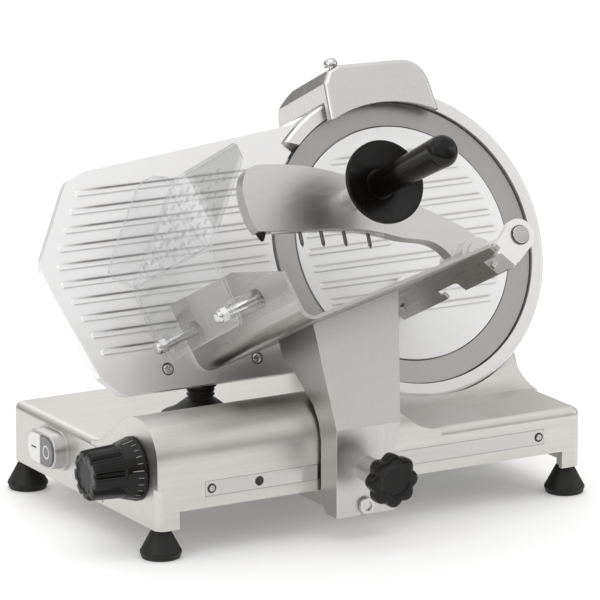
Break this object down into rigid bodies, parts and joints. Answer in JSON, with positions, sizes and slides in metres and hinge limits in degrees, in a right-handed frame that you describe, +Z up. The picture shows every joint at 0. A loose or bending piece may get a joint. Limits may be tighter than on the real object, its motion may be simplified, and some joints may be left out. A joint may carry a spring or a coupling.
{
  "type": "deli meat slicer",
  "caption": "Gravity-feed food slicer: leaning round knife in a guard ring, ribbed thickness plate, sliding tray with clear finger guard, swinging toothed pusher, dial, switch and sharpener.",
  "frame": {"origin": "on the counter plane, under the centre of the bounding box of the whole machine", "axes": "+X to the right along the carriage travel as the operator sees it, +Y away from the operator towards the motor side, +Z up"},
  "size_m": [0.5102, 0.401, 0.3559],
  "materials": {
    "cast_alu": "satin anodised casting",
    "bright_alu": "bright anodised, brushed",
    "knife_steel": "ground knife steel",
    "stainless": "brushed stainless",
    "rod_steel": "ground and polished steel rod",
    "chrome": "polished plating",
    "screws": "stainless fasteners",
    "black_knob": "glossy moulded plastic",
    "black_grip": "satin moulded plastic",
    "rubber": "satin black rubber",
    "acrylic": "clear moulded plastic sheet",
    "white_key": "moulded plastic",
    "dark_key": "moulded plastic",
    "index_plate": "plain printed plate",
    "bearing": "bearing steel",
    "motor_paint": "painted motor frame",
    "zinc": "zinc plated sheet",
    "abrasive": "bonded abrasive",
    "bronze": "sintered bronze"
  },
  "bodies": {
    "base": {"base_casting": "cast_alu", "rubber_feet": "rubber", "foot_screws": "screws", "bottom_cover": "zinc", "slide_cover_strip": "stainless", "cover_screws": "screws", "slide_rod": "rod_steel", "guide_bar": "rod_steel", "knife_housing": "cast_alu", "knife_bearings": "bearing", "knife_cover": "bright_alu", "belt_cover": "black_grip", "motor_case": "motor_paint", "drive_belt": "rubber", "motor_bracket": "zinc", "capacitor": "black_grip", "gauge_guide_rod": "rod_steel", "boot_seal": "rubber", "dial_plate": "index_plate", "switch_housing": "stainless", "cable_gland": "black_grip", "power_cord": "rubber", "mains_plug": "rubber"},
    "carriage": {"slide_block": "cast_alu", "slide_bushes": "bronze", "carriage_arm": "cast_alu", "carriage_screws": "screws", "carriage_tray": "stainless", "rod_brackets": "cast_alu", "pusher_rod": "rod_steel", "guard_studs": "rod_steel", "stud_sleeves": "acrylic", "finger_guard": "acrylic", "cap_nuts": "chrome"},
    "arm_knob": {"arm_knob": "black_knob"},
    "pusher_carrier": {"pusher_bush": "black_grip"},
    "pusher": {"pusher_arm": "bright_alu", "pusher_teeth": "rod_steel", "hand_guard": "black_grip", "handle_grip": "black_knob"},
    "knife": {"knife_blade": "knife_steel", "blade_screws": "screws", "knife_shaft": "rod_steel", "knife_pulley": "cast_alu"},
    "motor": {"motor_rotor": "zinc", "motor_pulley": "cast_alu"},
    "cover_knob": {"cover_knob": "black_knob"},
    "gauge": {"gauge_plate": "bright_alu", "gauge_screws": "screws", "gauge_support": "cast_alu"},
    "dial": {"dial_knob": "black_knob", "dial_shaft": "rod_steel"},
    "start_button": {"start_button": "white_key"},
    "stop_button": {"stop_button": "dark_key"},
    "sharpener": {"sharpener_hood": "bright_alu"},
    "sharpener_lock": {"sharpener_lock": "chrome"},
    "grinding_spindle": {"grinding_spindle": "rod_steel"},
    "deburring_spindle": {"deburring_spindle": "rod_steel"},
    "grinding_stone": {"grinding_stone": "abrasive"},
    "deburring_stone": {"deburring_stone": "abrasive"}
  },
  "joints": [
    {"name": "carriage_slide", "type": "slide", "parent": "base", "child": "carriage", "axis": [1, 0, 0], "range_m": [-0.11, 0.15]},
    {"name": "arm_knob_turn", "type": "hinge", "parent": "carriage", "child": "arm_knob", "pos_m": [-0.02915, -0.13251, 0.062], "axis": [0, -1, 0], "range_deg": [0, 720]},
    {"name": "pusher_slide", "type": "slide", "parent": "carriage", "child": "pusher_carrier", "axis": [0, -0.9041, 0.4274], "range_m": [-0.066, 0.056]},
    {"name": "pusher_swing", "type": "hinge", "parent": "pusher_carrier", "child": "pusher", "pos_m": [0.10715, 0.03351, 0.16112], "axis": [0, 0.9041, -0.4274], "range_deg": [-8, 100]},
    {"name": "knife_spin", "type": "hinge", "parent": "base", "child": "knife", "pos_m": [0.11715, 0.05189, 0.2], "axis": [0, -0.9041, 0.4274], "continuous": true},
    {"name": "motor_spin", "type": "hinge", "parent": "base", "child": "motor", "pos_m": [0.12915, 0.01856, 0.12948], "axis": [0, -0.9041, 0.4274], "continuous": true},
    {"name": "cover_knob_turn", "type": "hinge", "parent": "base", "child": "cover_knob", "pos_m": [0.11715, 0.05189, 0.2], "axis": [0, 0.9041, -0.4274], "range_deg": [0, 720]},
    {"name": "dial_turn", "type": "hinge", "parent": "base", "child": "dial", "pos_m": [-0.20015, -0.06251, 0.07], "axis": [-1, 0, 0], "range_deg": [0, 330]},
    {"name": "gauge_slide", "type": "slide", "parent": "base", "child": "gauge", "axis": [0, 0.9041, -0.4274], "range_m": [0, 0.012]},
    {"name": "start_press", "type": "slide", "parent": "base", "child": "start_button", "axis": [1, 0, 0], "range_m": [0, 0.003], "stiffness_N_per_m": 400, "springref_m": -0.002},
    {"name": "stop_press", "type": "slide", "parent": "base", "child": "stop_button", "axis": [1, 0, 0], "range_m": [0, 0.003], "stiffness_N_per_m": 400, "springref_m": -0.002},
    {"name": "sharpener_lift", "type": "slide", "parent": "base", "child": "sharpener", "axis": [0, 0.4274, 0.9041], "range_m": [0, 0.025]},
    {"name": "sharpener_lock_turn", "type": "hinge", "parent": "sharpener", "child": "sharpener_lock", "pos_m": [0.07965, 0.04466, 0.20342], "axis": [0, 0.4274, 0.9041], "range_deg": [0, 360]},
    {"name": "grinding_press", "type": "slide", "parent": "sharpener", "child": "grinding_spindle", "axis": [0, -0.9041, 0.4274], "range_m": [0, 0.003], "stiffness_N_per_m": 400, "springref_m": -0.002},
    {"name": "deburring_press", "type": "slide", "parent": "sharpener", "child": "deburring_spindle", "axis": [0, -0.9041, 0.4274], "range_m": [0, 0.003], "stiffness_N_per_m": 400, "springref_m": -0.002},
    {"name": "grinding_spin", "type": "hinge", "parent": "grinding_spindle", "child": "grinding_stone", "pos_m": [0.14915, 0.11428, 0.332], "axis": [0, -0.9041, 0.4274], "continuous": true},
    {"name": "deburring_spin", "type": "hinge", "parent": "deburring_spindle", "child": "deburring_stone", "pos_m": [0.09115, 0.11428, 0.332], "axis": [0, -0.9041, 0.4274], "continuous": true}
  ],
  "couplings": [
    {"joint": "motor_spin", "follows": "knife_spin", "ratio": 2.9157},
    {"joint": "dial_turn", "follows": "gauge_slide", "rad_per_m": 479.96}
  ]
}
